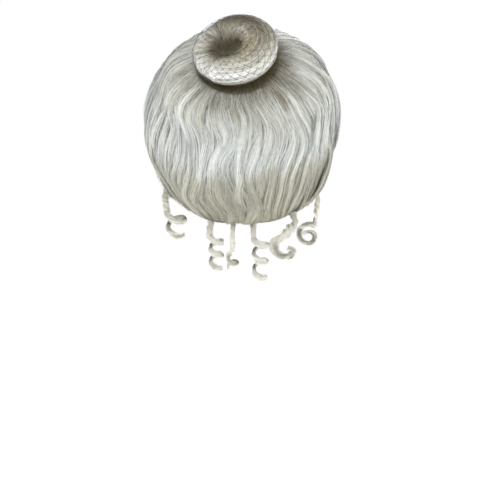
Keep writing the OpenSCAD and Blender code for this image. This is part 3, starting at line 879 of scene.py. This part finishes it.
# darkest in the middle, where the strands dip into the dimple: painted shade
c = mix(mix(DUSK, GREY, 0.34), DUSK, np.sin(s * math.pi)[..., None]) * g.uniform(0.55, 1.35, (n, 1, 1))
wd = 0.5 * g.uniform(0.6, 1.2, (n, 1)) * (0.1 + 0.9 * np.sin(s * math.pi) ** 0.5)
bun_locks("bun_coil_dimple_lock", q, U, wd, c, MATT)

# a lock folded out of the dimple and over the roll's upper left
n, k = 210, 26
s = steps(k)
u = g.uniform(-1, 1, (n, 1))
body = np.sin(s * math.pi) ** 0.7
f = 152 - SPIN + u * 7.0 * body + 10 * np.sin(s * 2.6) + g.normal(0, 1.2, (n, 1))
t = mix(118.0, 4.0, s * (1 - 0.25 * g.uniform(0, 1, (n, 1)))) + g.normal(0, 3, (n, 1))
q = bun_pt(f, t, -0.5 + 1.2 * (1 - u ** 2) * body - 0.9 * g.uniform(0, 1, (n, 1)))
c = mix(mix(DUSK, GREY, 0.5), SILVER, near(s * 180, 112, 44)[..., None]) * g.uniform(0.66, 1.05, (n, 1, 1))
wd = 0.46 * g.uniform(0.7, 1.2, (n, 1)) * (0.15 + 0.85 * body)
bun_locks("bun_coil_folded_lock", q, bun_out(f, t), wd, c)

# the roll under the strands
m, n = 72, 36
grid = bun_pt(np.linspace(0, 360, m, endpoint=False)[:, None], np.linspace(0, 360, n, endpoint=False)[None], -1.9)
i, j = np.meshgrid(np.arange(m), np.arange(n), indexing="ij")
i2, j2 = (i + 1) % m, (j + 1) % n
quads = np.stack([i * n + j, i * n + j2, i2 * n + j2, i2 * n + j], -1)
core = new_object("bun_coil_base")
fill_mesh(core, grid, quads.reshape(-1, 4)[:, ::-1])
part(core, BASE, "bun_hair", "wig", "bun_coil")


# stub of gathered hair, up through the elastic into the roll
n, k = 420, 12
a = g.uniform(0, 2 * math.pi, (n, 1))
s = steps(k)
r = mix(7.3, 6.5, s) - 0.9 * g.uniform(0, 1, (n, 1)) ** 2
z = -BUN_HALF - 1.0 + (BUN_HALF + 7.6) * s
q = around(r, a + 0.5 * s, z)
# dark like the dimple round it, partly painted shade
c = mix(DUSK, GREY, 0.35) * g.uniform(0.7, 1.15, (n, 1, 1))
bun_locks("bun_stub_locks", q, unit(q - around(0, 0, z)), 0.6, c, node_name="bun_stub")
z = np.linspace(-BUN_HALF - 1.1, 6.6, 8)[:, None]
a = np.linspace(0, 2 * math.pi, 28, endpoint=False)[None]
r = mix(6.6, 5.6, np.linspace(0, 1, 8))[:, None]
part(slab("bun_stub_core", around(r, a, z)[::-1], around(0.4, a, z)[::-1], closed=True),
     BASE, "bun_hair", "wig", "bun_stub")

# the tail's end, coiled round the stub in the dimple
n, k = 170, 40
s = steps(k)
a = np.radians(40 + 300 * s)
r = 2.1 * np.sqrt(g.uniform(0.15, 1, (n, 1)))
b = g.uniform(0, 6.3, (n, 1)) + 3.0 * s
q = around(5.3 + r * np.cos(b), a, 9.6 + r * np.sin(b))
# very dark: painted shade at the dimple's centre
c = DUSK * 0.7 * g.uniform(0.6, 1.3, (n, 1, 1))
bun_locks("bun_end_coil_lock", q, unit(q - around(5.3, a, 9.6)), 0.6, c, MATT, "bun_end_coil")


def thread_material(name, colour, scale=900.0):
    """Spun thread or woven elastic: twist bands in bump, and a little colour change."""
    m, nt, bsdf = material(name, 0.7, Sheen_Weight=0.25)
    wave = texture(nt, "Wave", bands_direction="DIAGONAL", i_Scale=scale, i_Distortion=1.5, i_Detail=2.0)
    coloured(nt, bsdf, wave, "Fac", shades(colour, (0.2, 0.72, 1), (0.8, 1.12, 0.95)))
    bumped(nt, bsdf, wave, "Fac", 0.5, 0.0003)
    return m


NET = thread_material("hairnet_thread", srgb(118, 110, 90))
ELASTIC = thread_material("covered_elastic", srgb(112, 104, 82), 500.0)

# hairnet: two families of diagonal threads with a knot at each crossing
cols, rows = 26, 6
s = steps(rows * 12 + 1)
f = np.arange(cols)[:, None] * 360 / cols
shift = 360 / cols * rows * (s - 0.5)
f = np.concatenate([f + shift, f - shift])
t = mix(128.0, -52.0, s)
knot = 1 + 0.9 * bump_at(((s * rows * 2) % 1 + 0.5) % 1, 0.5, 0.12)
part(tubes("bun_net_threads", bun_pt(f, t, 1.0), bun_out(f, t), 0.125 * knot, 5), NET, "hairnet", "wig", "bun_net")


def ring_cord(name, centre_line, cord_r, twists, slot, replaces_node):
    """Three twisted strands round a closed centre line, N x 3 in mm."""
    tangent = unit(np.roll(centre_line, -1, 0) - np.roll(centre_line, 1, 0))
    across = unit(np.cross(tangent, U))
    a = twists * np.linspace(0, 2 * math.pi, len(centre_line))[None] + np.arange(3)[:, None] * 2 * math.pi / 3
    q = centre_line[None] + cord_r * 0.46 * (across[None] * np.cos(a)[..., None] + U * np.sin(a)[..., None])
    return part(tubes(name, q, np.broadcast_to(U, q.shape), cord_r * 0.53, 7), ELASTIC, slot, "wig", replaces_node)


line = bun_pt(np.linspace(0, 360, 361), -60.0, 2.1)
line[-1] = line[0]
ring_cord("bun_net_elastic_cord", line, 0.9, 60, "net_elastic", "bun_net_elastic")
ring_cord("bun_elastic_cord", around(9.0, np.linspace(0, 2 * math.pi, 181), -BUN_HALF + 1), 1.2, 12,
          "net_elastic", "bun_elastic")

# ------------------------------------------------------------------ ringlets

RINGLETS = {  # root, coil radius, drop, turns, phase, tilt, start, share, sideways, ribbon width
    "ringlet_side_left": ((-100, 17, -52), 12, 54, 1.55, 180, 38, 0.36, 0.42, 2, 8.4),
    "ringlet_nape_left": ((-41, -75, -91), 8, 51, 2.6, 180, 28, 0.12, 0.14, 0, 7.2),
    "ringlet_nape_small": ((-12, -82, -92), 6.5, 42, 1.3, 90, 60, 0.45, 0.6, 0, 5.4),
    "ringlet_nape_right": ((14, -82, -92), 9, 62, 2.6, 180, 28, 0.12, 0.14, 0, 8.4),
    "ringlet_rear_right": ((68, -52, -82), 15, 44, 0.66, 180, 60, 0.5, 0.62, -32, 12.5),
    "ringlet_side_right": ((99, 15, -53), 11.5, 52, 1.3, 40, 68, 0.45, 0.78, -5, 8.8),
}


def curl_pt(root, coil_r, drop, turns, phase, tilt, start, share, dx, v):
    grow = ease(0, start + 0.1, v)
    w = np.clip((v - start) / (1 - start), 0, 1)
    ph, p0, tl = np.radians(phase + 360 * turns * w), math.radians(phase), math.radians(tilt)
    r, c0 = coil_r * (1 - 0.15 * w), coil_r * grow
    s = r * np.sin(ph) * grow - c0 * math.sin(p0)
    fall = np.where(v < start, share * v / start, mix(share, 1.0, w))
    return np.stack([root[0] + dx * ease(0, start + 0.2, v) + r * np.cos(ph) * grow - c0 * math.cos(p0),
                     root[1] + 0.8 * math.cos(tl) * s, root[2] - drop * fall + math.sin(tl) * s], -1)


for ri, (name, (root, coil_r, drop, turns, phase, tilt, start, share, dx, wide)) in enumerate(RINGLETS.items()):
    g = np.random.default_rng(100 + ri)
    n, k = 270, 84
    v = np.linspace(-0.16, 1.0, k)
    p = curl_pt(root, coil_r, drop, turns, phase, tilt, start, share, dx, np.clip(v, 0, 1))
    # above the root the lock runs up into the hem
    rise = np.clip(-v, 0, 1)[:, None]
    inward = unit(np.array([-root[0], -root[1], 0.0]))
    p = p + rise * np.array([0, 0, 1.0]) * 70 + rise * inward * 22
    t = unit(np.gradient(p, axis=0))
    tl = math.radians(tilt)
    axis = np.array([0.0, -math.sin(tl), math.cos(tl)])
    hub = np.array([p[k // 2:, 0].mean(), p[k // 2:, 1].mean(), 0])
    outw = p - hub
    outw[:, 2] = p[:, 2] - np.linspace(p[0, 2], p[-1, 2], k)
    outw = unit(outw - (outw @ axis)[:, None] * axis + 1e-4)
    hang = 1 - ease(start * 0.7, start + 0.16, v)[:, None]
    outw = unit(outw * (1 - hang) + (np.array([0.0, -1.0, 0.0]) - inward * 0.5) * hang)
    outw = unit(outw - (outw * t).sum(-1, keepdims=True) * t)
    across = unit(np.cross(t, outw))
    fat = (0.62 + 0.38 * ease(-0.02, 0.26, v)) * (1 - 0.22 * ease(0.85, 1.0, v)) * (0.86 + 0.14 * np.sin(v * 19 + ri))
    own = g.uniform(0, 6.3, (n, 2))
    loose = 1 + 4.2 * (g.uniform(0, 1, (n, 1)) < 0.30) * g.uniform(0.3, 1.0, (n, 1))
    wob = loose * (0.42 * np.sin(v[None] * 16 + own[:, :1]) + 0.22 * np.sin(v[None] * 41 + own[:, 1:]))
    short = np.minimum(1, np.maximum(0.74, 1.10 - 0.40 * g.uniform(0, 1, (n, 1)) ** 1.5))
    vv = steps(k) * short
    pa, oa, ca, fatn = (sample(np.broadcast_to(x, (n,) + x.shape), vv) for x in (p, outw, across, fat))
    which = g.integers(0, 4, n)[:, None]
    wind = which * math.pi / 2 + 2 * math.pi * (1.9 * vv + 0.12 * np.sin(vv * 23 + which * 2)) + ri
    room = wide / 2 * fatn
    near_end = ease(0.72, 1.0, vv)
    body = room * (0.52 + 0.14 * np.sin(vv * 31 + which * 1.7) + 0.25 * near_end)
    su = np.clip(g.normal(0, 0.24, (n, 1)), -0.5, 0.5) * room
    sw = np.clip(g.normal(0, 0.20, (n, 1)), -0.4, 0.4) * room
    q = (pa + ca * (body * np.cos(wind) + su + wob)[..., None]
         + oa * (0.8 * body * np.sin(wind) + sw + wob * 0.8)[..., None])
    u = np.clip(su / np.maximum(room, 0.5) / 0.5, -1, 1)
    # random tone, and the lock's sides a little darker than its middle: painted shade
    tone = g.uniform(0.84, 1.08, (n, 1, 1)) * (0.94 + 0.06 * (1 - u[..., None] ** 2))
    base_c = mix(mix(LOW, CREAM, 0.35), CREAM, ease(0.05, 0.4, vv)[..., None])
    wd = 0.48 * g.uniform(0.7, 1.3, (n, 1)) * (1 - 0.7 * ease(0.86, 1.0, steps(k)))
    locks(name + "_lock", name, CURL, "ringlet_hair", q, unit(oa), wd, np.clip(base_c * tone, 0.01, 0.92),
          name + "_body")

# ------------------------------------------------------------------ cap

def woven(name, colour, scale, open_net=False, rough=0.8, sheen=0.2):
    """Woven or knitted cloth: two families of threads; open_net paints the holes between them dark, as painted shade
    seen through them.
    """
    m, nt, bsdf = material(name, rough, Sheen_Weight=sheen, Specular_IOR_Level=0.3)
    upper = node(nt, "ShaderNodeMath", operation="MAXIMUM")
    for i, d in enumerate(("DIAGONAL", "X") if open_net else ("X", "Z")):
        wave = texture(nt, "Wave", bands_direction=d, i_Scale=scale, i_Distortion=0.6, i_Detail=1.0)
        link(nt, wave, "Fac", upper, i)
    # for an open net the holes get a dark colour: painted shade
    threads = ramp(nt, shades(colour, (0.15, 0.35 if open_net else 0.78, 1), (0.7, 1, 1), (1.0, 1.06, 0.95)))
    link(nt, upper, 0, threads, "Fac")
    noise = texture(nt, "Noise", i_Scale=60.0, i_Detail=4.0)
    coloured(nt, bsdf, noise, "Fac", [(0.3, (0.9,) * 3), (0.7, (1.05,) * 3)], threads)
    bumped(nt, bsdf, upper, 0, 0.55, 0.0003)
    return m


NET_CLOTH = woven("cap_net_cloth", srgb(206, 201, 186), 620.0, open_net=True)
LACE = woven("front_lace_cloth", srgb(222, 216, 202), 900.0, open_net=True)
BAND = woven("elastic_band_cloth", srgb(226, 223, 214), 700.0)
TAPE = woven("tape_cloth", srgb(220, 216, 205), 1300.0)
TAB = woven("tab_cloth", srgb(216, 211, 197), 1500.0)
LABEL = woven("label_satin", srgb(238, 236, 228), 2400.0, rough=0.45, sheen=0.35)
STITCH = thread_material("sewing_thread", srgb(232, 228, 214), 1600.0)


def patch(name, b0, b1, z_top, z_low, d0, d1, cols, rows, bulge=0.0):
    """A strip of cloth on the head form, between angles, heights and distances from the form."""
    b = np.linspace(b0, b1, cols + 1)[None]
    v = np.linspace(0, 1, rows + 1)[:, None]
    z = z_top + (z_low - z_top) * v
    return slab(name, *(head_pt(b, z, d + bulge * np.sin(v * math.pi)) for d in (d1, d0)))


def stitches(name, path_b, path_z, d, pitch, slot, node_name, body="wig", zig=0.0):
    """Stitches along a line on the head form: short threads, or a zigzag if zig is its half width."""
    fine = np.linspace(0, 1, 2000)
    b = np.interp(fine, np.linspace(0, 1, len(path_b)), path_b)
    z = np.interp(fine, np.linspace(0, 1, len(path_z)), path_z)
    p = head_pt(b, z, d)
    s = np.concatenate([[0], np.cumsum(np.linalg.norm(np.diff(p, axis=0), axis=-1))])
    count = max(2, int(s[-1] / pitch))
    tt = (np.arange(count)[:, None] + np.linspace(0.12, 0.88, 7)[None]) / count * s[-1]
    bb, zz = np.interp(tt, s, b), np.interp(tt, s, z)
    arch = np.sin(np.linspace(0, math.pi, 7))[None]
    if zig:
        zz = zz + zig * np.linspace(-1, 1, 7)[None] * np.where(np.arange(count) % 2 == 0, 1, -1)[:, None]
    sgn = 1 if d > 0 else -1
    q = head_pt(bb, zz, d + sgn * 0.28 * arch)
    up = unit(head_pt(bb, zz, d + 1) - head_pt(bb, zz, d))
    return part(tubes(name, q, up, 0.2, 5), STITCH, slot, body, node_name)


# crown net: one stretched sheet, with its own lattice of threads on the inside
NETCOLS = 120
b = np.linspace(-180, 180, NETCOLS, endpoint=False)
rim_z = np.maximum(14.5, hem_z(b) + 7)
low = np.where(abs(b) < 125, mix(62.0, 15.0, ease(100, 106, abs(b))), rim_z + 14.5)
rows = 30
v = np.linspace(0.03, 1, rows)[:, None]


def net_pts(d):
    p = np.arccos(low / (HEAD[2] + d))[None] * v
    return head_pt(b[None], (HEAD[2] + d) * np.cos(p), d)


net = slab("crown_net_cloth", net_pts(0.8), net_pts(0.1), closed=True)
part(net, NET_CLOTH, "cap_net", "wig", "crown_net")
k = 60
s = np.linspace(0.06, 0.985, k)[None]
fams = []
for sgn in (1, -1):
    f = np.arange(54)[:, None] * 360 / 54 + sgn * 110 * s
    fb = (f + 180) % 360 - 180
    lo = np.interp(fb, np.append(b, 180.0), np.append(low, low[0]))
    p = np.arccos(lo / HEAD[2]) * s
    fams.append(head_pt(fb, HEAD[2] * np.cos(p), -0.12))
q = np.concatenate(fams)
part(tubes("crown_net_threads", q, unit(q), 0.2, 4), STITCH, "cap_net", "wig", "crown_net")

# front band
bb = np.linspace(128, 232, 61)
bf = np.where(bb > 180, bb - 360, bb)
rim = np.maximum(14.5, hem_z(bf) + 7)
v = np.linspace(0, 1, 5)[:, None]
zz = rim[None] + 12 * (1 - v)
lace = slab("front_band_lace", *(head_pt(bf[None], zz, d) for d in (0.75, 0.05)))
part(lace, LACE, "front_lace", "wig", "front_band")
for i, dz in enumerate((1.2, 10.8)):
    for j, side in ((1, bf > 0), (3, bf < 0)):
        seam = np.linspace(128, 180, 30) if j == 1 else np.linspace(-180, -128, 30)
        stitches(f"front_band_stitches_{i + j}", seam, np.interp(seam, bf[side], rim[side]) + dz,
                 -0.05, 2.6, "front_lace", "front_band")

# nape band
nape = patch("nape_band_cloth", -90, 90, -50.2, -65.8, 0.05, 0.75, 90, 6)
part(nape, BAND, "elastic", "wig", "nape_band")
for i, z in enumerate((-52, -64)):
    stitches(f"nape_band_stitches_{i + 1}", (-89, 89), (z, z), -0.02, 3.0, "elastic", "nape_band", zig=0.9)

TAPES = (("tape_centre", 0), ("tape_mid_left", -48), ("tape_mid_right", 48), ("tape_side_left", -86),
         ("tape_side_right", 86))
for name, bt in TAPES:
    part(patch(name + "_cloth", bt - 3.2, bt + 3.2, 60.4, -49.5, 0.05, 0.75, 8, 60), TAPE, "tape", "wig", name)
    for i, db in enumerate((-2.6, 2.6)):
        stitches(f"{name}_stitches_{i + 1}", (bt + db, bt + db), (60, -49), -0.02, 2.8, "tape", name)

# wefts: a folded track with a row of zigzag stitching, and the hair that is sewn into it
for i, z in enumerate((54, 33, 12, -9, -30, -56)):
    name = f"weft_{i + 1}"
    end = 88 if i == 5 else 100
    track = patch(name + "_track", -end, end, z + 2.4, z + 0.6, 1.15, 1.95, 110, 2, 0.05)
    part(track, TAPE, "weft", "wig", name)
    stitches(name + "_stitches", (-end + 1, end - 1), (z + 1.5, z + 1.5), 1.1, 1.9, "weft", name, zig=0.6)
    g = np.random.default_rng(60 + i)
    n, k = 620, 6
    s = steps(k)
    bs = np.linspace(-end + 0.5, end - 0.5, n)[:, None] + g.normal(0, 0.25, (n, 1)) + g.normal(0, 0.5, (n, 1)) * s
    q = head_pt(bs, z + 1.4 - 3.8 * s, 1.25 + 0.55 * g.uniform(0, 1, (n, 1)))
    c = mix(LOW, MID, 0.35) * g.uniform(0.75, 1.1, (n, 1, 1))
    locks(name + "_hair", name, HAIR, "weft", q, unit(q * np.array([1, 1, 0.5])), 0.5, c)

# label, loop strips
tag = patch("care_label_cloth", -9, 9, 81.9, 66.1, -1.05, -0.55, 14, 12)
part(tag, LABEL, "label", "wig", "care_label")
stitches("care_label_stitches", (-8.4, 8.4), (80.6, 80.6), -1.05, 2.0, "label", "care_label")

for sgn, side in ((-1, "left"), (1, "right")):
    name = "loop_strip_" + side
    # two thin rails, and the bars between the button slots
    lo_b, hi_b = (4, 30) if sgn > 0 else (-30, -4)
    runs = [("top", lo_b, hi_b, -54.6, -56.2, 26, 2), ("low", lo_b, hi_b, -60.8, -62.4, 26, 2)]
    runs += [(f"bar_{i + 1}", bx - 0.9, bx + 0.9, -56.1, -60.9, 3, 3)
             for i, bx in enumerate(sorted(sgn * x for x in (4.9, 11.5, 17.5, 23.5, 29.1)))]
    for w, b0, b1, z0, z1, cols, rows in runs:
        part(patch(f"{name}_{w}", b0, b1, z0, z1, -1.45, -0.55, cols, rows), TAPE, "loop_tape", "wig", name)
    stitches(name + "_stitches", (lo_b + 0.5, hi_b - 0.5), (-55.4, -55.4), -1.47, 2.2, "loop_tape", name)

    name = "ear_tab_" + side
    seam_z = 12.5  # height of its sewn top edge
    v = np.linspace(0, 1, 29)
    drop = 8 + 18 * np.sqrt(np.clip(1 - (2 * v - 1) ** 4, 0, 1))
    bt = sgn * mix(106.5, 126.5, v if sgn > 0 else 1 - v)
    zz = seam_z - drop[None] * np.linspace(0, 1, 21)[:, None]
    tab = slab(name + "_cloth", *(head_pt(bt[None], zz, d) for d in (0.75, 0.05)))
    part(tab, TAB, "tab_fabric", name + "_body", name)
    stitches(name + "_stitches", bt[2:-2], seam_z - (drop[2:-2] - 1.3), -0.02, 2.2, "tab_fabric", name,
             name + "_body")

    name = "adjuster_strap_" + side
    v = steps(46)
    bs = mix(26, 84, v) if sgn > 0 else mix(-84, -26, v)
    row = np.linspace(0, 1, 5)[:, None]
    rib = 0.05 * np.sin(row * 2 * math.pi * 2)
    away = -mix(3.2, 1.6, v if sgn > 0 else 1 - v)
    part(slab(name + "_cloth", *(head_pt(bs, -55 - 7 * row, away + d + rib) for d in (0.72, 0.08))), BAND, "elastic",
         f"adjuster_{side}_body", name)


def solid_material(name, colour, rough, **sockets):
    """Metal or moulded plastic with fine scratches or flow marks, and roughness that varies."""
    m, nt, bsdf = material(name, rough, **sockets)
    noise = texture(nt, "Noise", i_Scale=840.0, i_Detail=5.0, i_Roughness=0.6)
    coloured(nt, bsdf, noise, "Fac", shades(colour, (0.3, 0.94, 1), (0.7, 1.06, 0.97)))
    roughened(nt, bsdf, noise, rough - 0.08, rough + 0.14)
    bumped(nt, bsdf, noise, "Fac", 0.3, 0.00008)
    return m


# CAD nodes whose shape is right keep it, and get a finish
PIN = solid_material("pin_steel", srgb(120, 116, 108), 0.35, Metallic=1.0)
STAY = solid_material("stay_aluminium", srgb(196, 197, 200), 0.32, Metallic=1.0)
HOOK = solid_material("hook_plastic", srgb(232, 229, 218), 0.22, Coat_Weight=0.15)
for name, finish in (("bun_pins", PIN), ("ear_stay_left", STAY), ("ear_stay_right", STAY),
                     ("adjuster_hook_left", HOOK), ("adjuster_hook_right", HOOK)):
    set_material(bpy.data.objects[name], finish)
